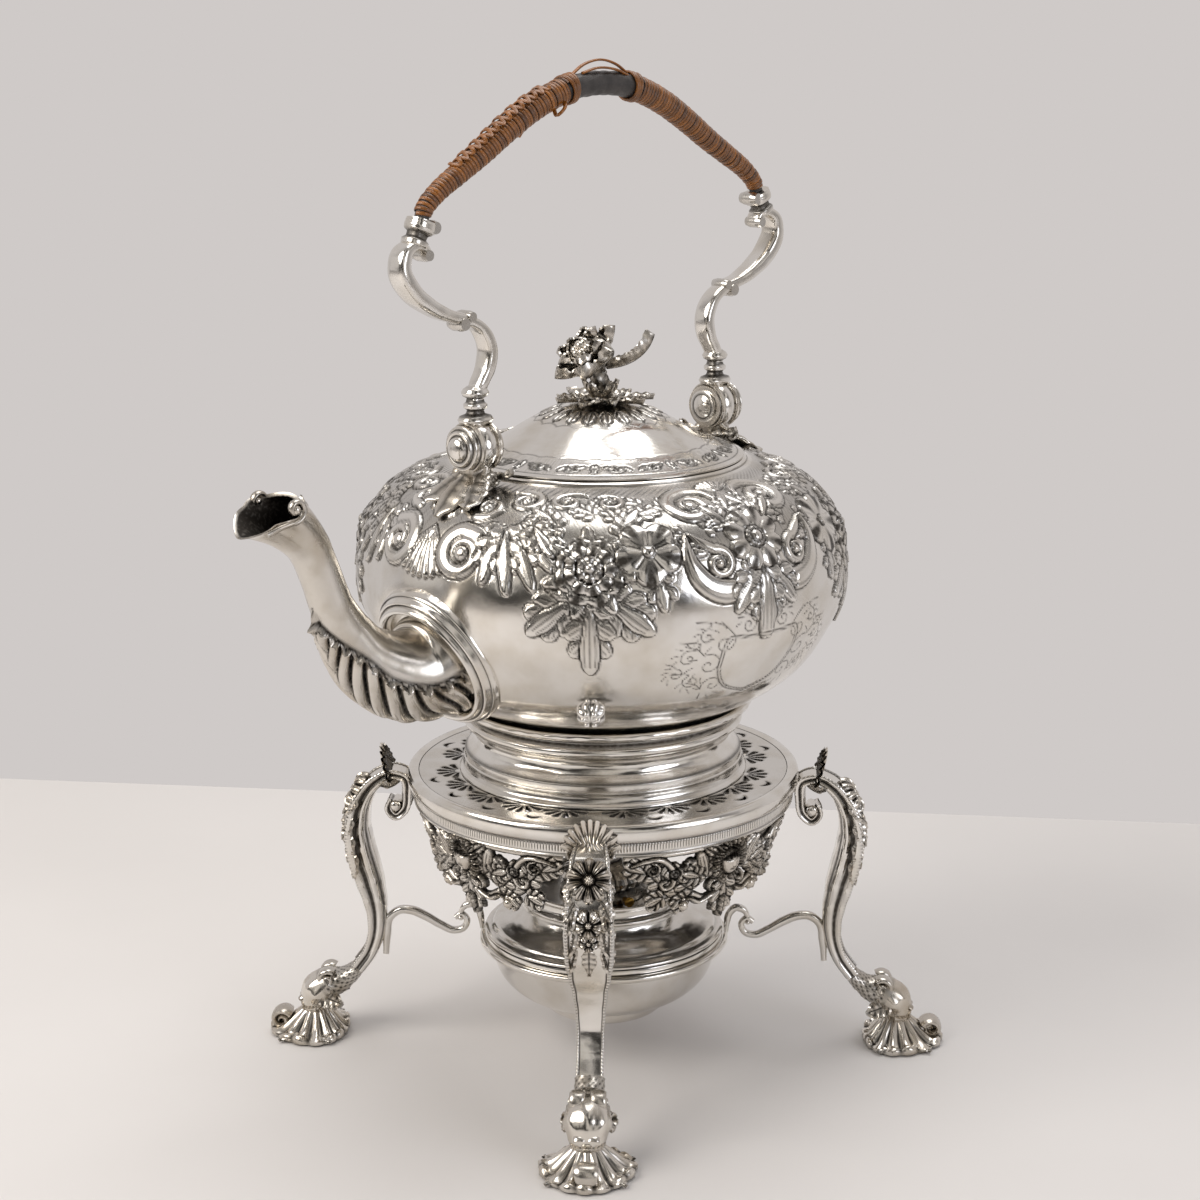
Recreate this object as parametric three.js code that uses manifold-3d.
// Silver kettle with a swing handle, on its own stand with a spirit lamp. Millimetres, +Z up.
// The origin is on the stand's axis, on the table, and the front leg points to -Y.
import * as THREE from 'three';
import { mergeVertices } from 'three/addons/utils/BufferGeometryUtils.js';
import Module from 'manifold-3d';

const wasm = await Module();
wasm.setup();

const TURN = Math.PI * 2;
const QUARTER = Math.PI / 2;
const SIDEWAYS = new THREE.Vector3(0, 1, 0);

// Sizes that several pieces share.
const weld = 0.0001;
const clearance = 0.3;
const overrun = 3;
const latheSides = 24;
const flatShare = Math.cos(Math.PI / latheSides);

// From the lamp's ring outwards, each radius stands on the one inside it: the lamp's flange rests on the
// ring, passes the plate's hole, the kettle's foot stands round the hole, and the collar round the foot.
const ringHoleRadius = 44.6;
const flangeLedge = 1.8;
const lampFlangeRadius = ringHoleRadius + flangeLedge;
const plateHoleRadius = lampFlangeRadius + clearance * 1.5;
const footRingLedge = 0.15;
const footRingRadius = plateHoleRadius + footRingLedge;
const footRingWidth = 5.9;
const collarRadius = footRingRadius + footRingWidth;

// Stand: plate, rim and the collar round the kettle's foot.
const plateTop = 112.4;
const plateThickness = 1.6;
const plateBand = 17.6;
const plateRadius = collarRadius + plateBand;
const rimReach = 4.7;
const rimRadius = plateRadius + rimReach;
const rimTop = 113.2;
const rimBandBottom = 100.7;
const rimLedge = 1.7;
const rimWall = 2.6;
const rimBandRadius = plateRadius + rimWall;
const collarWall = 1.5;
const collarTop = 118.6;
const collarFlare = 2.1;

// Legs, with the shell at the knee, the dolphin and the foot of each.
const legNames = ['front', 'right', 'back', 'left'];
const ankleReach = 23.7;
const ankleRadius = rimBandRadius + ankleReach;
const ankleHeight = 27.6;
const legHalfWidth = 10.4;
const legHalfDepth = 5.1;
const footReach = 37.2;
const footRadius = ankleRadius + footReach;
const footLength = 33;
const footHalfWidth = 18;
const footEdge = 2.2;
const footCrown = 6.1;
const footPadTop = 8.3;
const footPadRadius = 4.6;
const dolphinInset = 19.5;
const dolphinRadius = footRadius - dolphinInset;
const dolphinHalfWidth = 7.4;
const shellFoot = 108.4;
const shellHeight = 9.6;
const shellHalfWidth = 10.5;
const shellEdge = 1.6;
const shellCrown = 5.2;
const fluteDepth = 0.9;

// Apron between the legs.
const apronInset = 1.9;
const apronTopRadius = rimBandRadius - apronInset;
const apronTaper = 7.7;
const apronBottomRadius = apronTopRadius - apronTaper;
const apronDrop = 32;
const apronHalfAngle = THREE.MathUtils.degToRad(36);
const apronTop = rimBandBottom - clearance;
const apronWall = 2.2;
const apronRib = 1.4;
const maskHalfWidth = 6;
const maskHalfHeight = 8;
const ballRadius = 2.1;

// Lamp ring, its arms and the lamp.
const ringWidth = 4;
const ringRadius = ringHoleRadius + ringWidth;
const ringTop = 44;
const ringDepth = 2.8;
const armRise = 7;
const armSlimness = 0.0377;
const lampWall = 1.3;
const lampBottom = 10.5;
const lampFlangeDepth = 1.7;
const lampNeckShare = 0.65517;
const lampNeckRadius = lampFlangeRadius * lampNeckShare;
const lampNeckTop = 64.6;
const lampNeckDepth = 7.4;
const lampFloorDrop = 4;
const burnerRadius = 17;
const burnerHeight = 12.4;
const burnerTubeRadius = 6.4;
const burnerTubeTop = 79.5;
const burnerBoreRadius = 4.2;
const burnerDepth = 11;
const wickTop = 81.5;
const wickBottom = 20;
const brassPinRadius = 1.1;
const brassPinLength = 5.4;

// Kettle body, foot and lid.
const spoutTurn = THREE.MathUtils.degToRad(-132);
const footSpread = 3.7;
const footTopRadius = collarRadius + footSpread;
const bellyReach = 35;
const bellyRadius = footTopRadius + bellyReach;
const bodyFloor = 141.5;
const bodyTop = 233.2;
const bodyWall = 1.6;
const bodySteps = 12;
const mouthShare = 0.55022;
const mouthRadius = bellyRadius * mouthShare;
const lipWidth = 2.8;
const lugRadius = 4.9;
const lidOverlap = 2.6;
const lidRadius = mouthRadius + lidOverlap;
const lidRise = 19.4;
const lidWall = 1.5;
const bezelGap = 0.6;
const bezelWall = 1.2;
const bezelDepth = 4;
const hingeGap = 0.6;
const hingeRadius = 1.6;
const hingeHalfLength = 9;
const hingeTongueHalf = 3.1;
const hingePinRadius = 0.7;
const finialLeafReach = 18.5;
const finialStemHeight = 11;
const finialStemRadius = 4.4;
const blossomRadius = 18.6;
const blossomHeight = 15.4;

// Spout.
const spoutRootRadius = 19.5;
const spoutNeckRadius = 7.4;
const spoutLipRadius = 13.4;
const spoutLipTilt = THREE.MathUtils.degToRad(15);
const spoutWall = 1.5;
const spoutHoleRadius = 12;
const spoutRootInset = 7.6;
const spoutRootReach = bellyRadius - spoutRootInset;
const spoutRootShare = 0.31625;
const spoutRootHeight = THREE.MathUtils.lerp(bodyFloor, bodyTop, spoutRootShare);
const spoutReach = 70;
const spoutRise = 67.4;
const spoutLipShare = 0.83571;
const spoutLipReach = spoutRootReach + spoutReach * spoutLipShare;
const gadroonDepth = 1.3;
const gadroonShell = 1.1;
const gadroonTurns = 9;
const spoutSides = 18;
const spoutRings = 10;
const spoutCollarRadius = 28;
const spoutCollarDepth = 9.5;

// Swing handle: brackets, pins, arms, core and cane.
const pivotRise = 11.4;
const handleHeight = bodyTop + pivotRise;
const handleGap = 9.5;
const handleOffset = lidRadius + handleGap;
const drumRadius = 9;
const knuckleRadius = 8.7;
const knuckleHalf = 3;
const cheekWidth = 2.8;
const handlePinRadius = 2.6;
const pinHeadRadius = 6.8;
const pinHeadDepth = 3.9;
const bracketHalfWidth = 6.4;
const armHalfWidth = 3.5;
const armHalfDepth = 2.7;
const armNeckRise = 17.4;
const armNeckTop = handleHeight + armNeckRise;
const gripFootRise = 81;
const gripFoot = handleHeight + gripFootRise;
const gripFootReach = 23;
const gripFootOffset = handleOffset + gripFootReach;
const crownRise = 43;
const crownHeight = gripFoot + crownRise;
const coreEndRadius = 2.5;
const coreRadius = 4.3;
const caneRadius = 0.9;
const caneSeat = 0.6;
const caneLoops = 12;
const caneLoopSteps = 10;
const caneSides = 4;
const bareSpan = 40.5;
const straySpan = 28;
const strayRise = 5;

// Finishes.
const silver = metal(0xcfc9bf, 0.2);
const shadedSilver = metal(0xa59d92, 0.32);
const brass = metal(0xb08d3c, 0.3);
const grip = new THREE.MeshStandardMaterial({ color: 0x4c4a49, roughness: 0.6, metalness: 0 });
const cane = new THREE.MeshStandardMaterial({ color: 0x8a4a22, roughness: 0.45, metalness: 0 });
const cotton = new THREE.MeshStandardMaterial({ color: 0xd8cfbc, roughness: 0.9, metalness: 0 });

/** A polished metal of one colour. */
function metal(color, roughness) {
  return new THREE.MeshStandardMaterial({ color, roughness, metalness: 1 });
}

/** One value for each of count equal steps from 0 to 1. */
function steps(count, value) {
  return Array.from({ length: count + 1 }, (_, i) => value(i / count, i));
}

/** One value for each of count places round a turn. */
function round(count, value) {
  return Array.from({ length: count }, (_, i) => value((i / count) * TURN, i));
}

/** The volume inside a geometry, negative where its faces look inwards. */
function volume(position, index) {
  const [a, b, c] = [new THREE.Vector3(), new THREE.Vector3(), new THREE.Vector3()];
  let sum = 0;
  for (let i = 0; i < index.length; i += 3) {
    a.fromBufferAttribute(position, index[i]);
    b.fromBufferAttribute(position, index[i + 1]);
    c.fromBufferAttribute(position, index[i + 2]);
    sum += a.dot(b.cross(c));
  }
  return sum / 6;
}

/** The geometry with equal points joined, empty faces dropped and every face looking out. */
function closed(geometry) {
  const bare = new THREE.BufferGeometry();
  bare.setAttribute('position', geometry.getAttribute('position').clone());
  if (geometry.index) bare.setIndex(geometry.index.clone());
  const welded = mergeVertices(bare, weld);
  const faces = [];
  for (let i = 0; i < welded.index.count; i += 3) {
    const corner = [0, 1, 2].map((k) => welded.index.getX(i + k));
    if (new Set(corner).size === 3) faces.push(corner);
  }
  if (volume(welded.getAttribute('position'), faces.flat()) < 0) faces.forEach((face) => face.reverse());
  welded.setIndex(faces.flat());
  welded.computeVertexNormals();
  return welded;
}

/** A geometry as a manifold solid. */
function solid(geometry) {
  return new wasm.Manifold(new wasm.Mesh({
    numProp: 3,
    vertProperties: new Float32Array(geometry.getAttribute('position').array),
    triVerts: new Uint32Array(geometry.index.array),
  }));
}

/** A manifold solid as a geometry. */
function shaped(manifold) {
  const mesh = manifold.getMesh();
  const geometry = new THREE.BufferGeometry();
  geometry.setAttribute('position', new THREE.BufferAttribute(mesh.vertProperties, 3));
  geometry.setIndex(new THREE.BufferAttribute(mesh.triVerts, 1));
  return closed(geometry);
}

/** All the pieces as one body. */
function join(...pieces) {
  return shaped(pieces.map(solid).reduce((sum, piece) => sum.add(piece)));
}

/** A piece without the space of the tools. */
function cut(piece, ...tools) {
  return shaped(tools.map(solid).reduce((rest, tool) => rest.subtract(tool), solid(piece)));
}

/** A revolved body. Its outline of [radius, height] starts and ends on the axis or closes on itself. */
function lathe(outline, sides = latheSides) {
  const profile = outline.map(([radius, height]) => new THREE.Vector2(radius, height));
  return closed(new THREE.LatheGeometry(profile, sides).rotateX(QUARTER));
}

/** A revolved ring: a lathe outline that is closed here. */
function latheRing(outline, sides = latheSides) {
  return lathe([...outline, outline[0]], sides);
}

/** A smooth line through [radius, height] places, as count steps. */
function smooth(places, count) {
  const line = new THREE.SplineCurve(places.map(([radius, height]) => new THREE.Vector2(radius, height)));
  return line.getPoints(count).map((at) => [at.x, at.y]);
}

/** An outline moved sideways by a distance, to the left of its direction. */
function beside(outline, distance) {
  return outline.map(([radius, height], i) => {
    const [before, after] = [outline[Math.max(i - 1, 0)], outline[Math.min(i + 1, outline.length - 1)]];
    const along = new THREE.Vector2(after[0] - before[0], after[1] - before[1]).normalize();
    return [Math.max(radius - along.y * distance, 0), height + along.x * distance];
  });
}

/** A closed body skinned over rings of equal counts. A looped one joins its last ring to its first. */
function skin(rings, looped = false) {
  const count = rings[0].length;
  const points = rings.flat();
  const index = [];
  steps((looped ? rings.length : rings.length - 1) - 1, (_, i) => {
    const low = i * count;
    const high = ((i + 1) % rings.length) * count;
    round(count, (_turn, j) => {
      const k = (j + 1) % count;
      index.push(low + j, low + k, high + k, low + j, high + k, high + j);
    });
  });
  if (!looped) {
    for (const [ring, first] of [[rings[0], 0], [rings.at(-1), (rings.length - 1) * count]]) {
      const middle = ring.reduce((sum, at) => sum.add(at), new THREE.Vector3()).divideScalar(count);
      points.push(middle);
      round(count, (_turn, j) => {
        const pair = [first + j, first + ((j + 1) % count)];
        index.push(points.length - 1, ...(first ? pair : pair.reverse()));
      });
    }
  }
  const geometry = new THREE.BufferGeometry().setFromPoints(points);
  geometry.setIndex(index);
  return closed(geometry);
}

/** A round section of a bar, as shares of its half sizes. */
function roundSection(sides) {
  return round(sides, (turn) => [Math.cos(turn), Math.sin(turn)]);
}

/** Half sizes that run evenly through a list of [outwards, across] pairs. */
function taper(...pairs) {
  return (share) => {
    const at = share * (pairs.length - 1);
    const i = Math.floor(at);
    const next = pairs[Math.min(i + 1, pairs.length - 1)];
    return pairs[i].map((size, k) => THREE.MathUtils.lerp(size, next[k], at - i));
  };
}

/** A bar along a smooth line. facing gives the outward direction at a place, half its half sizes. */
function bar(places, count, section, half, facing) {
  const line = new THREE.CatmullRomCurve3(places, false, 'centripetal');
  return skin(steps(count, (share) => {
    const at = line.getPointAt(share);
    const along = line.getTangentAt(share);
    const across = new THREE.Vector3().crossVectors(along, facing(at)).normalize();
    const out = new THREE.Vector3().crossVectors(across, along);
    const [outHalf, acrossHalf] = half(share);
    return section.map(([u, v]) => at.clone().addScaledVector(out, u * outHalf)
      .addScaledVector(across, v * acrossHalf));
  }));
}

/** A bar whose line lies in the XZ plane, through [x, z] places. */
function flatBar(places, count, section, half) {
  return bar(places.map(([x, z]) => new THREE.Vector3(x, 0, z)), count, section, half, () => SIDEWAYS);
}

/** Two sheets of rows by columns points, one over the other, closed along their edges. */
function slab(rows, columns, top, bottom) {
  const points = [top, bottom].flatMap((sheet) => steps(rows, (u) => steps(columns, (v) => sheet(u, v))).flat());
  const width = columns + 1;
  const under = (rows + 1) * width;
  const index = [];
  steps(rows - 1, (_u, i) => steps(columns - 1, (_v, j) => {
    const [a, b, c, d] = [i * width + j, i * width + j + 1, (i + 1) * width + j, (i + 1) * width + j + 1];
    index.push(a, c, d, a, d, b, under + a, under + d, under + c, under + a, under + b, under + d);
  }));
  const border = [
    ...steps(columns, (_v, j) => j),
    ...steps(rows, (_u, i) => i * width + columns),
    ...steps(columns, (_v, j) => rows * width + columns - j),
    ...steps(rows, (_u, i) => (rows - i) * width),
  ].filter((at, i, list) => at !== list[(i + 1) % list.length]);
  border.forEach((a, i) => {
    const b = border[(i + 1) % border.length];
    index.push(a, b, under + b, a, under + b, under + a);
  });
  const geometry = new THREE.BufferGeometry().setFromPoints(points);
  geometry.setIndex(index);
  return closed(geometry);
}

/** A fluted scallop. It opens from its hinge at the origin to +X and lies on z = 0. */
function scallop(length, halfWidth, edge, crown, flutes, spread) {
  const place = (u, v, height) => {
    const angle = (v - 0.5) * spread;
    const reach = u * (1 - (Math.round(v * flutes * 2) % 2 ? 0 : fluteDepth / length));
    return new THREE.Vector3(reach * length * Math.cos(angle), reach * halfWidth * Math.sin(angle), height);
  };
  const ridge = (u, v) => (Math.round(v * flutes * 2) % 2 ? u * fluteDepth : 0);
  return slab(2, flutes * 2, (u, v) => place(u, v, edge + crown * (1 - u * u) + ridge(u, v)),
    (u, v) => place(u, v, 0));
}

/** A drum along X from one place to another, about a line at [y, z]. */
function drum(radius, from, to, y, z, sides = 20) {
  return closed(new THREE.CylinderGeometry(radius, radius, to - from, sides).rotateZ(QUARTER)
    .translate((from + to) / 2, y, z));
}

/** A box between two corners. */
function box(low, high) {
  const size = high.map((value, i) => value - low[i]);
  return closed(new THREE.BoxGeometry(...size).translate(...low.map((value, i) => value + size[i] / 2)));
}

/** A ball with its own half size along each axis. */
function ball(x, y, z, half, sides = 8) {
  return closed(new THREE.SphereGeometry(1, sides, sides - 2).rotateX(QUARTER).scale(...half).translate(x, y, z));
}

/** Adds a named mesh to a group. */
function add(group, name, geometry, finish = silver) {
  const mesh = new THREE.Mesh(geometry, finish);
  mesh.name = name;
  group.add(mesh);
  return mesh;
}

/** The mould of the rim, outside, from the milled band up, as shares of its width and height. */
const rimShares = [[0.59, 0], [0.67, 0.1], [0.61, 0.39], [0.83, 0.46], [1, 0.66], [0.93, 0.92], [0.66, 1]];

/** Moulded rim with the milled band under it and the ledge that carries the plate. */
function standRim() {
  const inside = plateRadius - rimLedge;
  const outside = rimShares.map(([out, up]) => [
    inside + out * (rimRadius - inside), rimBandBottom + up * (rimTop - rimBandBottom)]);
  const seat = plateTop - plateThickness - clearance;
  return latheRing([
    [rimBandRadius - rimWall, rimBandBottom], ...outside,
    [plateRadius + clearance, plateTop + clearance], [plateRadius + clearance, seat], [inside, seat],
    [rimBandRadius - rimWall, seat - rimLedge * 2],
  ]);
}

/** Collar that holds the kettle's foot, flared out on the plate. */
function standCollar() {
  const seat = plateTop + clearance;
  const height = collarTop - seat;
  const inner = collarRadius - collarWall;
  return latheRing([
    [inner, seat], [collarRadius + collarFlare, seat], [collarRadius + collarFlare * 0.8, seat + height * 0.15],
    [collarRadius, seat + height * 0.35], [collarRadius + collarFlare * 0.15, collarTop], [inner, collarTop],
  ]);
}

// Fans and crescents that pierce the plate: their places in each quarter, counted from the mask's line.
const fanAngles = [-27, -13, 13, 27].map(THREE.MathUtils.degToRad);
const crescentAngles = [-20, 20].map(THREE.MathUtils.degToRad);
const fanReachShare = 0.12658;
const fanHeartShare = 0.03978;
const crescentLength = 6.4;
const crescentWidth = 1.9;

/** One closed hole through the plate, from places given as [x, y] about a centre and turned with it. */
function hole(centreRadius, angle, places) {
  const centre = new THREE.Vector2(centreRadius, 0);
  return new THREE.Path(places.map(([x, y]) => new THREE.Vector2(x, y).add(centre)
    .rotateAround(new THREE.Vector2(), angle)));
}

/** The flat plate, pierced with fans round the collar and with crescents outside them. */
function standPlate() {
  const shape = new THREE.Shape(round(latheSides, (turn) => new THREE.Vector2(plateRadius, 0).rotateAround(
    new THREE.Vector2(), turn)));
  shape.holes.push(new THREE.Path(round(latheSides, (turn) => new THREE.Vector2(plateHoleRadius, 0).rotateAround(
    new THREE.Vector2(), turn))));
  const fanFoot = collarRadius + collarFlare + clearance;
  const fanReach = fanFoot * fanReachShare;
  const fanHeart = fanFoot * fanHeartShare;
  round(4, (quarter) => {
    const middle = quarter + TURN / 8;
    for (const angle of fanAngles) {
      for (const leaf of [-1, 0, 1]) {
        const slot = [[fanHeart, -0.32], [fanReach, -0.34], [fanReach, 0.34], [fanHeart, 0.32]];
        shape.holes.push(hole(fanFoot, middle + angle, slot.map(([reach, turn]) => [
          reach * Math.cos(turn + leaf), reach * Math.sin(turn + leaf)])));
      }
    }
    for (const angle of crescentAngles) {
      const tip = crescentLength / 2;
      shape.holes.push(hole((fanFoot + fanReach + plateRadius - rimLedge) / 2, middle + angle, [
        [-crescentWidth / 2, -tip], [crescentWidth / 2, 0], [-crescentWidth / 2, tip], [-crescentWidth / 4, 0]]));
    }
  });
  const plate = new THREE.ExtrudeGeometry(shape, { depth: plateThickness, bevelEnabled: false });
  return closed(plate.translate(0, 0, plateTop - plateThickness));
}

/** A place on the apron's cone: an angle from the mask's line and a share of the drop. */
function onApron(angle, share, outwards = 0) {
  const radius = THREE.MathUtils.lerp(apronTopRadius, apronBottomRadius, share) + outwards;
  const turn = angle * apronHalfAngle;
  return new THREE.Vector3(radius * Math.cos(turn), radius * Math.sin(turn), apronTop - share * apronDrop);
}

// The apron's lower edge and its holes, for one half: shares of the half angle and of the drop.
const apronEdgeShares = [[1, 0.13], [0.86, 0.2], [0.72, 0.38], [0.6, 0.58], [0.49, 0.68], [0.37, 0.68], [0.25, 0.77],
  [0.13, 0.78], [0.09, 0.9]];
const apronTopShares = [0, 0.25, 0.5, 0.75, 1];
const apronBowShare = 0.01;
const apronHoleShares = [
  [[0.85, 0.12], [0.7, 0.08], [0.58, 0.15], [0.56, 0.4], [0.68, 0.31], [0.76, 0.2]],
  [[0.5, 0.12], [0.36, 0.09], [0.38, 0.3], [0.3, 0.44], [0.45, 0.47], [0.49, 0.34]],
  [[0.2, 0.1], [0.27, 0.2], [0.26, 0.34], [0.14, 0.47], [0.15, 0.3]],
  [[0.1, 0.56], [0.25, 0.54], [0.4, 0.6], [0.27, 0.67], [0.12, 0.68]],
];

/** One quarter of the apron: a cast and pierced sheet of scrolls with a mask, two balls and a pendant. */
function apron() {
  const flat = ([angle, share]) => new THREE.Vector2(angle, -share);
  const mirrored = (shares) => shares.map(([angle, share]) => [-angle, share]).reverse();
  const right = apronEdgeShares;
  const top = apronTopShares.map((angle) => [angle, apronBowShare * angle * angle]);
  const edge = [...mirrored(top).slice(0, -1), ...top, ...right, [0, 1], ...mirrored(right)];
  const shape = new THREE.Shape(edge.reverse().map(flat));
  apronHoleShares.flatMap((places) => [places, mirrored(places)]).forEach((places) => {
    shape.holes.push(new THREE.Path(places.map(flat)));
  });
  const sheet = new THREE.ExtrudeGeometry(shape, { depth: apronWall, bevelEnabled: false });
  const at = sheet.getAttribute('position');
  steps(at.count - 1, (_share, i) => at.setXYZ(i, ...onApron(at.getX(i), -at.getY(i), at.getZ(i) - apronWall / 2)));
  const outwards = (place) => new THREE.Vector3(place.x, place.y, 0).normalize();
  const drops = [-0.43, 0.43].map((angle) => ball(...onApron(angle, 0.68 + ballRadius * 0.8 / apronDrop),
    [ballRadius, ballRadius, ballRadius], 5));
  const pendant = bar([0.5, 0.66, 0.82, 1].map((share) => onApron(0, share)), 3, roundSection(4),
    taper([apronRib, apronRib * 1.6], [apronRib * 1.8, apronRib * 2.6], [apronRib * 0.7, apronRib * 0.8]), outwards);
  const face = ball(...onApron(0, 0.26, apronWall), [maskHalfWidth * 0.55, maskHalfWidth, maskHalfHeight], 6);
  return join(closed(sheet), pendant, ...drops, face);
}

// The leg's section: a flat face between raised edges, as shares of its half depth and half width.
const legSectionShares = [[0.6, 0.66], [1, 0.82], [0.5, 1], [-0.8, 0.8], [-0.8, -0.8], [0.5, -1], [1, -0.82],
  [0.6, -0.66]].map(([deep, wide]) => [wide, -deep]);
// The leg's line from its ankle over the knee to its volute, as shares of its step out and of its rise.
const legShares = [[0, 0], [-0.3, 0.12], [-0.46, 0.26], [-0.48, 0.39], [-0.35, 0.6], [-0.16, 0.81], [-0.1, 1],
  [-0.26, 1.165], [-0.55, 1.265], [-0.9, 1.31], [-1.21, 1.285], [-1.245, 1.183], [-1.165, 1.078], [-0.93, 1.035],
  [-0.81, 1.087], [-0.96, 1.127]];
const [legSeatShare] = legShares[11];
const legTopShare = 1.192;
const legStep = (rimBandRadius + clearance + legHalfDepth * 0.5 - ankleRadius) / legSeatShare;
const legRise = (rimBandBottom - ankleHeight) / legTopShare;

// The lamp arm starts at the leg's inner face, a little over its ankle.
const armStartRadius = ankleRadius + legShares[2][0] * legStep - legHalfDepth * 0.76 - clearance;
const ringSeat = (ringRadius + lampFlangeRadius) / 2 + clearance;
const armReach = armStartRadius - ringSeat;
const armHalf = armReach * armSlimness;

/** A cabriole leg that ends in a volute under the rim. */
function leg() {
  const places = legShares.map(([out, up]) => [ankleRadius + out * legStep, ankleHeight + up * legRise]);
  const half = taper(...[[0.51, 0.55], [0.55, 0.55], [0.6, 0.6], [0.75, 0.75], [0.9, 0.95], [1, 1], [1, 0.9],
    [0.9, 0.65], [0.7, 0.5], [0.5, 0.42], [0.42, 0.35], [0.4, 0.3]].map(([wide, deep]) => [
    wide * legHalfWidth, deep * legHalfDepth]));
  return flatBar(places, 14, legSectionShares, half);
}

/** The shell at the top of a leg, upright against the rim. */
function kneeShell() {
  return scallop(shellHeight, shellHalfWidth, shellEdge, shellCrown, 5, Math.PI * 0.94)
    .rotateY(-QUARTER).rotateZ(Math.PI)
    .translate(rimRadius + clearance, 0, shellFoot);
}

/** The dolphin between a leg and its foot, head down. */
function dolphin() {
  const [x, z] = [ankleRadius, ankleHeight];
  const start = new THREE.Vector2(legShares[0][0] - legShares[1][0], 0).multiplyScalar(legStep);
  start.y = (legShares[0][1] - legShares[1][1]) * legRise;
  start.normalize();
  const head = dolphinRadius;
  const chin = footPadTop + clearance;
  const places = [
    [x + start.x * clearance, z + start.y * clearance], [x + start.x * 2, z + start.y * 2],
    [x + (head - x) * 0.45, z * 0.81], [head - dolphinHalfWidth * 0.32, z * 0.72], [head, z * 0.52], [head, chin]];
  const half = taper(...[[0.72, 0.42], [0.7, 0.55], [0.9, 0.8], [1, 0.92], [1, 0.95], [0.9, 0.8], [0.6, 0.62]]
    .map(([wide, deep]) => [wide * dolphinHalfWidth, deep * dolphinHalfWidth]));
  const body = flatBar(places, 6, roundSection(6), half);
  const fin = dolphinHalfWidth * 0.45;
  const crest = flatBar([[x + (head - x) * 0.3, z * 0.95], [x + (head - x) * 0.55, z * 1.03], [head, z * 0.98]], 2,
    roundSection(4), taper([fin * 0.3, fin * 0.5], [fin * 0.5, fin], [fin * 0.3, fin * 0.4]));
  const brows = [-1, 1].map((side) => ball(head + fin * 0.6, side * dolphinHalfWidth * 0.62, z * 0.66,
    [fin * 0.8, fin * 0.7, fin * 0.8], 5));
  return join(body, crest, ...brows);
}

/** A fluted shell foot with a pad for the dolphin's chin and two curled ends. */
function foot() {
  const hinge = footRadius - footLength;
  const shell = scallop(footLength, footHalfWidth, footEdge, footCrown, 6, Math.PI * 1.16)
    .translate(hinge, 0, 0);
  const pad = lathe([[0, 0], [footPadRadius, 0], [footPadRadius, footPadTop], [0, footPadTop]], 8)
    .translate(dolphinRadius, 0, 0);
  const curl = footCrown * 0.55;
  const ends = [-1, 1].map((side) => ball(hinge - curl * 0.3, side * footHalfWidth * 0.72, curl,
    [curl, curl * 1.2, curl], 5));
  return join(shell, pad, ...ends);
}

// The lamp arm's two scrolls, as shares of the way from the leg to the ring and of the arm's rise.
const armShares = [[0, 0.05], [0.03, 0.8], [0.16, 1.06], [0.34, 0.86], [0.56, 0.2], [0.73, -0.14], [0.84, 0.24],
  [0.81, 0.74], [0.72, 0.62]];
const hookShares = [[0.76, 0.74], [0.82, 1.32], [0.92, 1.4], [0.985, 0.9], [1, -0.02]];

/** The scroll arm from a leg's inner side to the lamp ring. */
function lampArm() {
  const base = ringTop + clearance;
  const line = (shares) => shares.map(([along, up]) => [armStartRadius - along * armReach, base + up * armRise]);
  const scroll = flatBar(line(armShares), 9, roundSection(4),
    taper([armHalf, armHalf], [armHalf * 1.3, armHalf], [armHalf, armHalf], [armHalf * 0.8, armHalf * 0.8]));
  const hookEnd = [armStartRadius - armReach, base];
  const hook = flatBar([...line(hookShares).slice(0, -1), hookEnd], 4, roundSection(4),
    taper([armHalf * 0.7, armHalf * 0.7], [armHalf, armHalf * 0.8], [armHalf * 0.6, armHalf * 0.6]));
  return join(scroll, hook);
}

/** Ring that carries the lamp by its flange. */
function lampRing() {
  return latheRing([
    [ringHoleRadius, ringTop - ringDepth], [ringRadius - ringDepth * 0.3, ringTop - ringDepth],
    [ringRadius, ringTop - ringDepth * 0.5], [ringRadius - ringDepth * 0.1, ringTop], [ringHoleRadius, ringTop],
  ]);
}

// The lamp bowl's outside, as shares of its radius and of its height to the flange.
const bowlShares = [[0, 0], [0.3, 0.02], [0.52, 0.14], [0.555, 0.26], [0.73, 0.33], [0.93, 0.56], [1, 1]];

/** Bowl that holds the spirit, with the flange that rests on the ring. */
function lampBowl() {
  const radius = ringHoleRadius * flatShare - clearance;
  const seat = ringTop + clearance;
  const outside = bowlShares.map(([out, up]) => [out * radius, lampBottom + up * (seat - lampBottom)]);
  const inside = outside.filter((_, i) => i !== 2).map(([out, up], i, list) => [
    Math.max(out - lampWall, 0), i === list.length - 1 ? seat + lampFlangeDepth : up + lampWall]);
  return lathe([...outside, [lampFlangeRadius, seat], [lampFlangeRadius, seat + lampFlangeDepth],
    ...inside.reverse()], 20);
}

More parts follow.
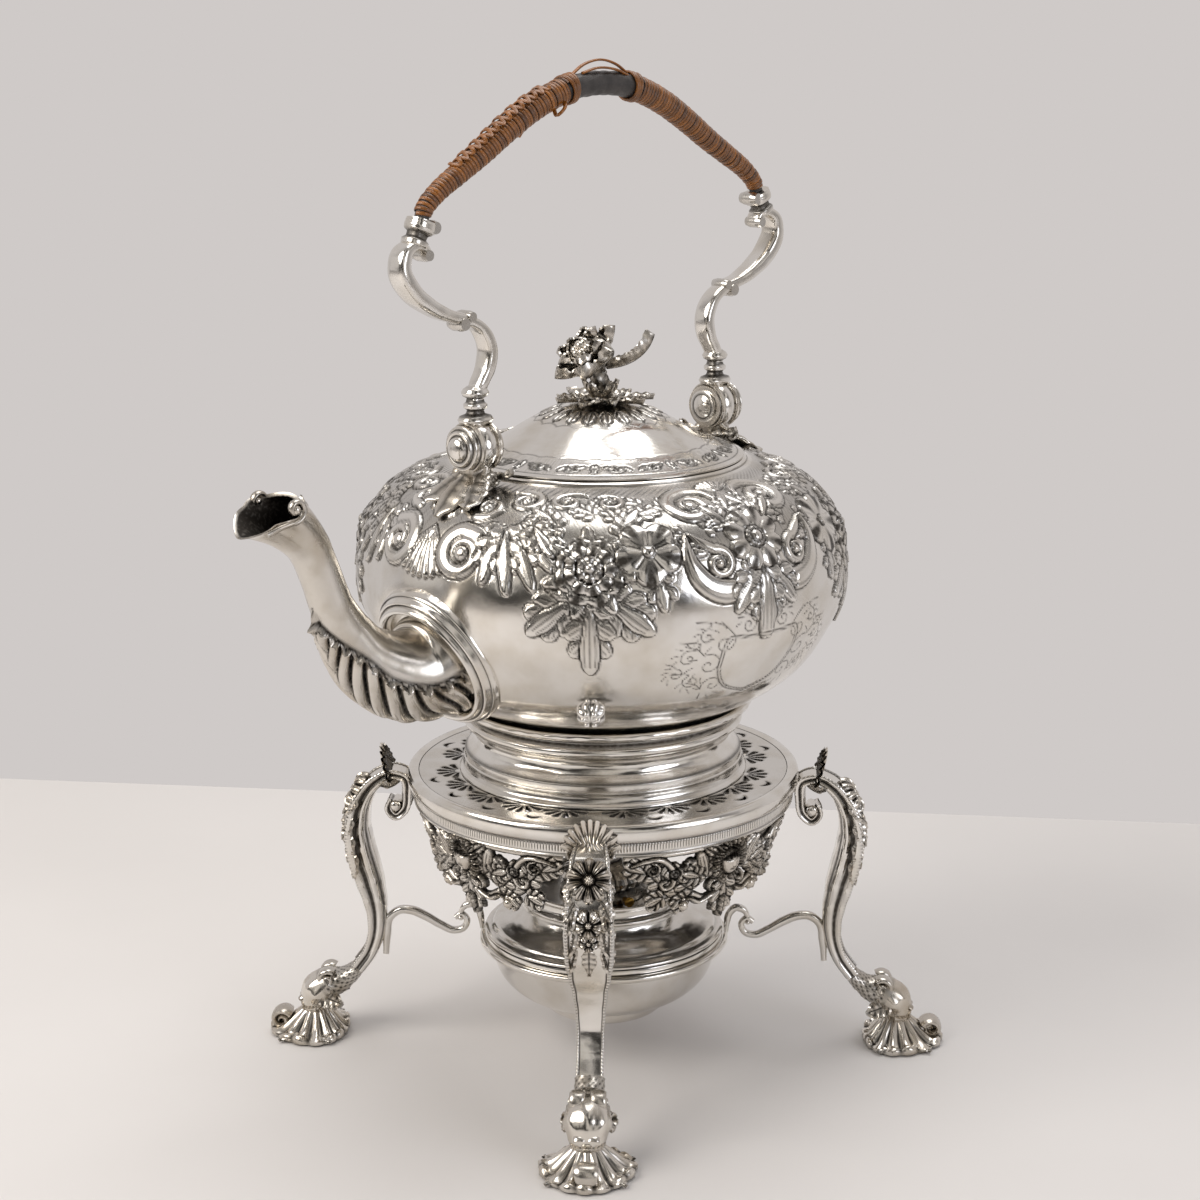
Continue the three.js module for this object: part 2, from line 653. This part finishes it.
/** Cover of the lamp: a hollow shoulder, a plain band and a sunk floor with the burner's hole. */
function lampTop() {
  const base = ringTop + clearance + lampFlangeDepth + clearance;
  const neckBottom = lampNeckTop - lampNeckDepth;
  const floor = lampNeckTop - lampFloorDrop;
  const bore = burnerTubeRadius + clearance * 2;
  const shoulder = smooth([[lampFlangeRadius, base + lampWall], [lampNeckRadius * 1.25, base + lampWall * 2.6],
    [lampNeckRadius, neckBottom]], 3);
  const under = beside(shoulder, lampWall).slice(1).reverse();
  return latheRing([
    [lampFlangeRadius, base], ...shoulder, [lampNeckRadius, lampNeckTop],
    [lampNeckRadius - lampWall, lampNeckTop], [lampNeckRadius - lampWall, floor], [bore, floor],
    [bore, floor - lampWall], [lampNeckRadius - lampWall * 2, floor - lampWall], ...under.slice(0, -1),
    [lampFlangeRadius - lampWall * 2, base],
  ], 20);
}

/** Turned burner with a domed shoulder, a tube for the wick and a spigot into the lamp. */
function burner() {
  const seat = lampNeckTop - lampFloorDrop + clearance;
  const spigot = burnerTubeRadius + clearance;
  return latheRing([
    [burnerBoreRadius, seat - burnerDepth], [spigot, seat - burnerDepth], [spigot, seat],
    [burnerRadius * 0.97, seat], [burnerRadius, seat + burnerHeight * 0.17],
    [burnerRadius * 0.8, seat + burnerHeight * 0.62],
    [burnerTubeRadius, seat + burnerHeight], [burnerTubeRadius, burnerTubeTop], [burnerBoreRadius, burnerTubeTop],
  ], 16);
}

/** Round wick in the burner's bore. */
function wick() {
  const radius = burnerBoreRadius - clearance;
  return lathe([[0, wickBottom], [radius, wickBottom], [radius, wickTop - radius * 0.4], [radius * 0.6, wickTop],
    [0, wickTop]], 10);
}

/** Small brass pin that stands out of the burner's shoulder. */
function brassPin() {
  const seat = lampNeckTop - lampFloorDrop + clearance;
  const pin = lathe([[0, 0], [brassPinRadius, 0], [brassPinRadius, brassPinLength * 0.6],
    [brassPinRadius * 1.8, brassPinLength * 0.65], [brassPinRadius * 1.8, brassPinLength], [0, brassPinLength]], 8);
  return pin.rotateY(QUARTER).translate(burnerRadius + clearance, 0, seat + burnerHeight * 0.17)
    .rotateZ(-TURN / 6);
}

// The kettle body's outside, as shares of the belly's radius and of the body's height.
const bodyShares = [[0.585, 0], [0.7, 0.062], [0.83, 0.161], [0.93, 0.305], [0.99, 0.44], [1, 0.545], [0.985, 0.67],
  [0.93, 0.8], [0.83, 0.905], [0.7, 0.955], [0.595, 0.985]];

/** The body's outside from its floor to its lip, as count steps. */
function bodyOutline(count) {
  const height = bodyTop - bodyFloor;
  return smooth(bodyShares.map(([out, up]) => [out * bellyRadius, bodyFloor + up * height]), count);
}

/** The body's outside as one solid, grown by the clearance: what sits on the body is cut with it. */
function bodyMould() {
  const outside = beside(bodyOutline(bodySteps), -clearance);
  return lathe([[0, outside[0][1] - clearance], [outside[0][0], outside[0][1] - clearance], ...outside,
    [mouthRadius + lipWidth + clearance, bodyTop + clearance], [0, bodyTop + clearance]]);
}

/** Hollow body, open at the mouth and through to the spout. */
function kettleBody() {
  const outside = bodyOutline(bodySteps);
  const inside = beside(bodyOutline(6), bodyWall).slice(1, -1).reverse();
  const shell = lathe([
    [0, bodyFloor], ...outside, [mouthRadius + lipWidth, bodyTop], [mouthRadius, bodyTop],
    [mouthRadius, bodyTop - bodyWall * 1.6], ...inside, [bodyShares[0][0] * bellyRadius, bodyFloor + bodyWall],
    [0, bodyFloor + bodyWall],
  ]);
  return cut(shell, spoutAligned(closed(new THREE.CylinderGeometry(spoutHoleRadius, spoutHoleRadius,
    spoutRootRadius * 2, 12).rotateX(QUARTER))));
}

// The foot ring's mouldings outside, from the bottom up, as shares of its flare and of its height.
const footRingShares = [[0.56, 0.31], [0.4, 0.38], [0.18, 0.52], [0.58, 0.69], [0.58, 0.79], [0.44, 0.85],
  [0.96, 0.92], [1, 1]];

/** Moulded foot ring that stands in the collar. */
function kettleFoot() {
  const bottom = plateTop + clearance;
  const height = bodyFloor - clearance - bottom;
  const outside = footRingShares.map(([out, up]) => [
    footRingRadius + out * (footTopRadius - footRingRadius), bottom + up * height]);
  const base = (collarRadius - collarWall) * flatShare - clearance;
  return latheRing([[footRingRadius, bottom], [base, bottom], [base, collarTop], ...outside,
    [footRingRadius, bottom + height]]);
}

/** Flower-shaped lug low on the body, over the foot. */
function footLug() {
  const [radius, height] = bodyOutline(bodySteps)[2];
  return cut(ball(radius, 0, height - lugRadius * 0.35, [lugRadius, lugRadius, lugRadius * 0.85]), bodyMould());
}

// The lid's outside from its edge to its top, as shares of its radius and rise.
const lidShares = [[1, 0.03], [0.9, 0.13], [0.79, 0.24], [0.66, 0.42], [0.5, 0.68], [0.32, 0.9], [0.15, 0.985], [0, 1]];

/** The lid's outside, as count steps. */
function lidOutline(count) {
  const base = bodyTop + clearance;
  return smooth(lidShares.map(([out, up]) => [out * lidRadius, base + up * lidRise]), count);
}

/** Domed lid with a bezel that drops into the mouth. */
function lid() {
  const base = bodyTop + clearance;
  const bezel = mouthRadius - bezelGap;
  const under = beside(lidOutline(6), lidWall).slice(2, -1).reverse();
  return lathe([
    [0, base + lidRise - lidWall], ...under, [bezel - bezelWall, base + lidWall], [bezel - bezelWall, base - bezelDepth],
    [bezel, base - bezelDepth], [bezel, base], [lidRadius, base], ...lidOutline(7),
  ]);
}

/** The lid's outside as one solid, grown by the clearance. */
function lidMould() {
  const outside = beside(lidOutline(7), -clearance);
  return lathe([[0, bodyTop], [lidRadius, bodyTop], ...outside.slice(0, -1), [0, outside.at(-1)[1]]]);
}

const hingeOut = lidRadius + hingeGap + hingeRadius;
const hingeHeight = bodyTop + clearance + hingeRadius * 0.6;

/** The hinge's seat on the body: two knuckles on one base. */
function hingeSeat() {
  const inner = hingeOut - hingeRadius + hingeGap * 0.2;
  const knuckles = [[-hingeHalfLength, -hingeTongueHalf - clearance], [hingeTongueHalf + clearance, hingeHalfLength]];
  const base = box([-hingeHalfLength, -hingeOut - hingeRadius, bodyTop - hingeRadius * 2.4],
    [hingeHalfLength, -inner, hingeHeight - hingeRadius - clearance]);
  return cut(join(base, ...knuckles.flatMap(([from, to]) => [
    drum(hingeRadius, from, to, -hingeOut, hingeHeight, 10),
    box([from, -hingeOut - hingeRadius, bodyTop - hingeRadius], [to, -inner, hingeHeight]),
  ])), bodyMould(), drum(hingePinRadius + clearance, -hingeHalfLength - overrun, hingeHalfLength + overrun,
    -hingeOut, hingeHeight, 10));
}

/** The lid's own knuckle, with the strap that lies on the lid. */
function hingeStrap() {
  const half = hingeTongueHalf;
  const knuckle = drum(hingeRadius, -half, half, -hingeOut, hingeHeight, 10);
  const strap = box([-half, -hingeOut, hingeHeight - hingeRadius * 0.4],
    [half, -lidRadius * 0.82, hingeHeight + hingeRadius]);
  return cut(join(knuckle, strap), lidMould(), drum(hingePinRadius + clearance, -half - overrun, half + overrun,
    -hingeOut, hingeHeight, 10));
}

/** A leaf or petal from the origin to +X that rises by a curve, narrow at both ends. */
function leaf(length, halfWidth, thickness, rise, droop) {
  const place = (u, v, lift) => {
    const wide = halfWidth * Math.sin(Math.PI * (0.12 + 0.76 * u)) * (2 * v - 1);
    const height = rise * u - droop * u * u + Math.abs(2 * v - 1) * thickness * 0.6;
    return new THREE.Vector3(length * u, wide, height + lift);
  };
  return slab(3, 2, (u, v) => place(u, v, thickness), (u, v) => place(u, v, 0));
}

const lidTop = bodyTop + clearance + lidRise;

/** Cast leaves under the finial, spread over the lid. */
function finialLeaves() {
  const hub = finialStemRadius * 1.3;
  const disc = lathe([[0, lidTop + clearance], [hub, lidTop + clearance],
    [hub, lidTop + clearance * 2 + lidWall], [0, lidTop + clearance * 2 + lidWall]], 10);
  const leaves = round(5, (turn) => leaf(finialLeafReach - hub * 0.6, hub * 0.95, lidWall, lidWall * 3, lidWall * 4.2)
    .translate(hub * 0.6, 0, lidTop + clearance).rotateZ(turn));
  return join(disc, ...leaves);
}

/** Turned stem between the leaves and the blossom. */
function finialStem() {
  const base = lidTop + clearance * 3 + lidWall;
  const radius = finialStemRadius;
  const shares = [[0.8, 0], [1, 0.12], [0.68, 0.3], [0.6, 0.5], [0.95, 0.68], [1, 0.8], [0.7, 0.92], [0.8, 1]];
  return lathe([[0, base], ...shares.map(([out, up]) => [out * radius, base + up * finialStemHeight]),
    [0, base + finialStemHeight]], 10);
}

/** Open cast blossom with a folded leaf beside it. */
function finialBlossom() {
  const base = lidTop + clearance * 4 + lidWall + finialStemHeight;
  const hub = finialStemRadius;
  const cup = lathe([[0, base], [hub * 0.8, base], [hub * 1.5, base + blossomHeight * 0.3],
    [hub * 1.2, base + blossomHeight * 0.75], [0, base + blossomHeight]], 9);
  const petals = round(5, (turn, i) => leaf(blossomRadius - hub * 0.4, hub * 1.5, lidWall,
    blossomHeight * (i % 2 ? 1.2 : 0.9), blossomHeight * 0.5)
    .translate(hub * 0.4, 0, base + blossomHeight * 0.1).rotateZ(turn));
  return join(cup, ...petals);
}

// The spout's line from its root, as shares of its reach and rise, and its radius as shares from neck to root.
const spoutLineShares = [[0, 0], [0.17, -0.03], [0.32, 0.02], [0.45, 0.11], [0.55, 0.26], [0.62, 0.41], [0.68, 0.57],
  [0.74, 0.71], [0.82, 0.84], [0.9, 0.95], [1.02, 1.1]];
const spoutBulgeShares = [1, 0.74, 0.58, 0.43, 0.27, 0.12, 0.03, 0, 0.04];
const spoutTilt = THREE.MathUtils.degToRad(-24.5);

/** Turns a geometry that points along +Z so that it leaves the body square at the spout's root. */
function spoutAligned(geometry) {
  return geometry.rotateY(QUARTER - spoutTilt).translate(spoutRootReach, 0, spoutRootHeight);
}

/** The spout's radius at a share of its length, before the gadroons. */
function spoutRadius(share) {
  const at = share * (spoutBulgeShares.length + 1);
  const last = spoutBulgeShares.length - 1;
  if (at > last) return THREE.MathUtils.lerp(spoutNeckRadius, spoutLipRadius, Math.min((at - last) / 2, 1) ** 1.6);
  const i = Math.min(Math.floor(at), last - 1);
  const bulge = THREE.MathUtils.lerp(spoutBulgeShares[i], spoutBulgeShares[i + 1], at - i);
  return THREE.MathUtils.lerp(spoutNeckRadius, spoutRootRadius, bulge);
}

/** How far the gadrooned lower shell stands out at a share of the length and an angle from the top. */
function gadroon(share, angle) {
  const low = (1 - Math.cos(angle)) / 2;
  const lobe = Math.abs(Math.sin(angle * gadroonTurns / 2));
  const reach = THREE.MathUtils.clamp((low * 0.62 + lobe * 0.05 - share) * 12, 0, 1);
  return low > 0.3 ? reach * (gadroonShell + gadroonDepth * lobe) : 0;
}

/** The scroll spout: a hollow neck out of a gadrooned lower shell, flared at its lip. */
function spout() {
  const line = new THREE.CatmullRomCurve3(spoutLineShares.map(([out, up]) => new THREE.Vector3(
    spoutRootReach + out * spoutReach, 0, spoutRootHeight + up * spoutRise)), false, 'centripetal');
  const ring = (share, radius) => {
    const at = line.getPointAt(share);
    const along = line.getTangentAt(share);
    const out = new THREE.Vector3().crossVectors(SIDEWAYS, along).negate();
    return round(spoutSides, (turn) => at.clone().addScaledVector(out, radius(turn) * Math.cos(turn))
      .addScaledVector(SIDEWAYS, radius(turn) * Math.sin(turn)));
  };
  const outside = steps(spoutRings, (share) => ring(share, (turn) => spoutRadius(share) + gadroon(share, turn)));
  const inside = steps(4, (share) => ring(share, () => spoutRadius(share) - spoutWall)).reverse();
  const above = box([-spoutLipRadius, -spoutRootRadius, 0], [spoutReach, spoutRootRadius, spoutRise])
    .rotateY(spoutLipTilt).translate(spoutLipReach, 0, spoutRootHeight + spoutRise);
  return cut(skin([...outside, ...inside], true), bodyMould(), above);
}

/** Three stepped rings where the spout leaves the body, cut to the body's curve. */
function spoutCollar() {
  const low = -spoutCollarDepth;
  const bore = spoutRootRadius + gadroonShell + gadroonDepth + clearance * 1.6;
  const width = spoutCollarRadius - bore;
  const shares = [[1, 0], [1, 0.5], [0.9, 0.64], [0.72, 0.66], [0.6, 0.84], [0.36, 0.84], [0.2, 1], [0, 1]];
  const ring = latheRing([[bore, low], ...shares.map(([out, up]) => [
    bore + out * width, low + up * spoutCollarDepth * 1.6])], 16);
  return cut(spoutAligned(ring), bodyMould());
}

/** One handle bracket on the shoulder: two round cheeks on a foot cut to the body. */
function handleBracket() {
  const slot = knuckleHalf + clearance;
  const [from, to] = [handleOffset - slot - cheekWidth, handleOffset + slot + cheekWidth];
  const drumPart = drum(drumRadius, from, to, 0, handleHeight);
  const foot = closed(new THREE.CylinderGeometry(bracketHalfWidth * 1.2, bracketHalfWidth, drumRadius * 2, 4, 1)
    .rotateY(TURN / 8).scale(Math.SQRT2, 1, Math.SQRT2).rotateX(QUARTER)
    .translate(handleOffset, 0, handleHeight - drumRadius));
  const trim = box([from, -drumRadius, bodyFloor], [to, drumRadius, handleHeight]);
  const block = shaped(solid(foot).intersect(solid(trim)));
  return cut(join(drumPart, block), bodyMould(),
    drum(drumRadius + clearance, handleOffset - slot, handleOffset + slot, 0, handleHeight),
    drum(handlePinRadius + clearance, from - overrun, to + overrun, 0, handleHeight, 12));
}

/** Pin through a bracket and a handle arm, with a ringed head outside. */
function handlePin() {
  const head = knuckleHalf + cheekWidth + clearance * 2;
  const shares = [[1, 0], [1, 0.35], [0.84, 0.42], [0.8, 0.62], [0.6, 0.68], [0.52, 0.9], [0.3, 1]];
  return lathe([[0, -head], [handlePinRadius, -head], [handlePinRadius, head],
    ...shares.map(([out, up]) => [out * pinHeadRadius, head + up * pinHeadDepth]), [0, head + pinHeadDepth]], 12)
    .rotateY(QUARTER).translate(handleOffset, 0, handleHeight);
}

// The handle arm's lower and upper scrolls, as shares of the grip foot's offset and height over the drum.
const lowerScrollShares = [[0.02, 0.2], [-0.08, 0.265], [-0.235, 0.345], [-0.265, 0.425], [-0.14, 0.5], [0.12, 0.548],
  [0.34, 0.555]];
const upperScrollShares = [[0.22, 0.57], [0.5, 0.588], [0.92, 0.64], [1.27, 0.71], [1.44, 0.795], [1.36, 0.875],
  [1.12, 0.9], [0.95, 0.865]];
const capShares = [[1.16, 0.89], [1.08, 0.94], [1.0, 0.9965]];

/** One silver arm of the swing handle: knuckle, neck, two scrolls and the cap at the grip. */
function handleArm() {
  const knuckle = drum(knuckleRadius, handleOffset - knuckleHalf, handleOffset + knuckleHalf, 0, handleHeight);
  const neckFoot = handleHeight + drumRadius + clearance * 1.5;
  const tongue = box([handleOffset - knuckleHalf, -armHalfWidth, handleHeight + handlePinRadius * 2],
    [handleOffset + knuckleHalf, armHalfWidth, neckFoot + knuckleHalf]);
  const rise = gripFoot - handleHeight;
  const out = gripFootOffset - handleOffset;
  const line = (shares) => shares.map(([x, z]) => [handleOffset + x * out, handleHeight + z * rise]);
  const sized = (...pairs) => taper(...pairs.map(([wide, deep]) => [wide * armHalfWidth, deep * armHalfDepth]));
  const neck = flatBar([[handleOffset, neckFoot], [handleOffset, armNeckTop]], 5, roundSection(5),
    sized([1.35, 2.1], [1.1, 1.6], [0.9, 1.15], [0.85, 1.1], [1.15, 1.5], [0.95, 1.2], [1.15, 1.5], [0.9, 1.2]));
  const lower = flatBar(line(lowerScrollShares), 6, roundSection(5),
    sized([0.9, 0.8], [1, 1], [1, 1], [0.95, 0.9], [0.8, 0.75]));
  const upper = flatBar(line(upperScrollShares), 7, roundSection(5),
    sized([0.8, 0.7], [0.9, 0.8], [1, 1.05], [1.05, 1.15], [0.9, 0.9], [0.6, 0.6]));
  const cap = flatBar(line(capShares), 3, roundSection(6),
    sized([1, 1.3], [1.2, 1.6], [1, 1.35], [1.25, 1.65], [1.25, 1.65], [1.25, 1.65]));
  const knobs = [[0.33, 0.545, 1.3], [1.14, 0.9, 1.5]].map(([x, z, size]) => ball(
    handleOffset + x * out, 0, handleHeight + z * rise, [1.2, 1, 1].map((share) => share * size * armHalfDepth), 5));
  const bore = drum(handlePinRadius + clearance, handleOffset - knuckleHalf - overrun,
    handleOffset + knuckleHalf + overrun, 0, handleHeight, 12);
  return cut(join(knuckle, tongue, neck, lower, upper, cap, ...knobs), bore);
}

// One half of the grip's line, as shares of its foot's offset and of its rise to the crown.
const gripShares = [[1, 0], [0.986, 0.07], [0.925, 0.185], [0.81, 0.325], [0.675, 0.48], [0.535, 0.655],
  [0.385, 0.82], [0.22, 0.945]];

/** The line of the grip's core, from one arm's cap to the other's. */
function gripLine() {
  const half = gripShares.map(([out, up]) => new THREE.Vector3(
    out * gripFootOffset, 0, gripFoot + up * (crownHeight - gripFoot)));
  const other = half.map((at) => at.clone().setX(-at.x)).reverse();
  return new THREE.CatmullRomCurve3([...half, new THREE.Vector3(0, 0, crownHeight), ...other], false, 'centripetal');
}

/** The core's radius at a share of the grip's line. */
function coreSize(share) {
  return THREE.MathUtils.lerp(coreEndRadius, coreRadius, Math.sin(Math.PI * share) ** 0.8);
}

/** Core of the grip, bare at the crown. */
function gripCore() {
  return bar(gripLine().points, 26, roundSection(8), (share) => [coreSize(share), coreSize(share)], () => SIDEWAYS);
}

/**
 * Centres of a cane winding from the front cap towards the crown, each with its outward direction.
 * It starts and ends with a straight run of one cane's width along the core.
 */
function windingCentres() {
  const line = gripLine();
  const length = line.getLength();
  const run = caneRadius * 2;
  const pitch = ((length - bareSpan) / 2 - run * 2) / (caneLoops + 2);
  const lead = steps(5, (f) => [run + pitch * (1.4 * Math.sqrt(f) - 0.2 * f), Math.PI * f]);
  const whole = caneLoops - 1;
  const [leadEnd] = lead.at(-1);
  const loops = steps(whole * caneLoopSteps, (f) => [leadEnd + f * whole * pitch, Math.PI + f * whole * TURN])
    .slice(1, -1);
  const total = leadEnd * 2 + whole * pitch;
  const turnEnd = TURN + whole * TURN;
  const tail = [...lead].reverse().map(([along, turn]) => [total - along, turnEnd - turn]);
  return [[0, 0], ...lead, ...loops, ...tail, [total, turnEnd]].map(([along, turn]) => {
    const share = along / length;
    const at = line.getPointAt(share);
    const inPlane = new THREE.Vector3().crossVectors(SIDEWAYS, line.getTangentAt(share)).normalize();
    const out = inPlane.multiplyScalar(Math.cos(turn)).addScaledVector(SIDEWAYS, Math.sin(turn));
    return { at: at.addScaledVector(out, coreSize(share) + caneSeat + caneRadius), out };
  });
}

// The cane's section, with a flat towards the core.
const caneSection = round(caneSides, (turn) => [Math.cos(turn + TURN / 8), Math.sin(turn + TURN / 8)]);

/** One unbroken cane winding over the front half of the grip. */
function winding() {
  const centres = windingCentres();
  return skin(centres.map(({ at, out }, i) => {
    const before = centres[Math.max(i - 1, 0)].at;
    const after = centres[Math.min(i + 1, centres.length - 1)].at;
    const along = after.clone().sub(before).normalize();
    const across = new THREE.Vector3().crossVectors(along, out).normalize();
    const over = new THREE.Vector3().crossVectors(across, along);
    return caneSection.map(([u, v]) => at.clone().addScaledVector(over, caneRadius * u)
      .addScaledVector(across, caneRadius * v));
  }));
}

/** The least gap between loops of the winding, measured between its centres. */
function windingGap() {
  const places = windingCentres().map(({ at }) => at);
  let least = Infinity;
  places.forEach((a, i) => places.slice(i + caneLoopSteps / 2).forEach((b) => {
    least = Math.min(least, a.distanceTo(b) - caneRadius * 2);
  }));
  return least;
}

// The loose strand's places: shares of its span along the core and of its rise off it.
const strayShares = [[0.5, 0], [0.28, 0.36], [0, 0.6], [-0.3, 0.3], [-0.5, 0]];

/** The loose end of cane that arches over the bare core. */
function strayCane() {
  const line = gripLine();
  const places = strayShares.map(([along, up]) => {
    const at = line.getPointAt(0.5 + (along * straySpan) / line.getLength());
    return [at.x, at.z + coreRadius + clearance + caneRadius + up * strayRise];
  });
  return flatBar(places, 8, roundSection(caneSides), taper([caneRadius, caneRadius]));
}

const part = new THREE.Group();

add(part, 'stand_plate', standPlate());
add(part, 'stand_rim', standRim());
add(part, 'stand_collar', standCollar());
legNames.forEach((name, i) => {
  const station = new THREE.Group();
  station.rotation.z = (i - 1) * QUARTER;
  add(station, `leg_${name}`, leg());
  add(station, `leg_shell_${name}`, kneeShell());
  add(station, `dolphin_${name}`, dolphin());
  add(station, `foot_${name}`, foot());
  add(station, `lamp_arm_${name}`, lampArm());
  part.add(station);
});
['front_right', 'back_right', 'back_left', 'front_left'].forEach((name, i) => {
  add(part, `apron_${name}`, apron(), shadedSilver).rotation.z = (i - 0.5) * QUARTER;
});

const lamp = new THREE.Group();
add(part, 'lamp_ring', lampRing());
add(lamp, 'lamp_bowl', lampBowl());
add(lamp, 'lamp_top', lampTop());
add(lamp, 'lamp_burner', burner());
add(lamp, 'lamp_wick', wick(), cotton);
add(lamp, 'lamp_brass_pin', brassPin(), brass);
part.add(lamp);

const kettle = new THREE.Group();
kettle.rotation.z = spoutTurn;
add(kettle, 'kettle_body', kettleBody());
add(kettle, 'kettle_foot', kettleFoot());
['front', 'back'].forEach((name, i) => {
  add(kettle, `foot_lug_${name}`, footLug()).rotation.z = -QUARTER - spoutTurn + i * Math.PI;
});
add(kettle, 'spout', spout());
add(kettle, 'spout_collar', spoutCollar());
add(kettle, 'lid', lid());
add(kettle, 'lid_hinge_seat', hingeSeat());
add(kettle, 'lid_hinge_strap', hingeStrap());
add(kettle, 'lid_hinge_pin', drum(hingePinRadius, -hingeHalfLength - clearance, hingeHalfLength + clearance,
  -hingeOut, hingeHeight, 10));
add(kettle, 'finial_leaves', finialLeaves());
add(kettle, 'finial_stem', finialStem());
add(kettle, 'finial_blossom', finialBlossom());
['front', 'back'].forEach((name, i) => {
  const side = new THREE.Group();
  side.rotation.z = i * Math.PI;
  add(side, `handle_bracket_${name}`, handleBracket());
  add(side, `handle_pin_${name}`, handlePin());
  add(side, `handle_arm_${name}`, handleArm());
  add(side, `cane_winding_${name}`, winding(), cane);
  kettle.add(side);
});
add(kettle, 'handle_core', gripCore(), grip);
add(kettle, 'cane_strand', strayCane(), cane);
part.add(kettle);

console.log(`least gap inside a cane winding: ${windingGap().toFixed(2)} mm`);

export default part;
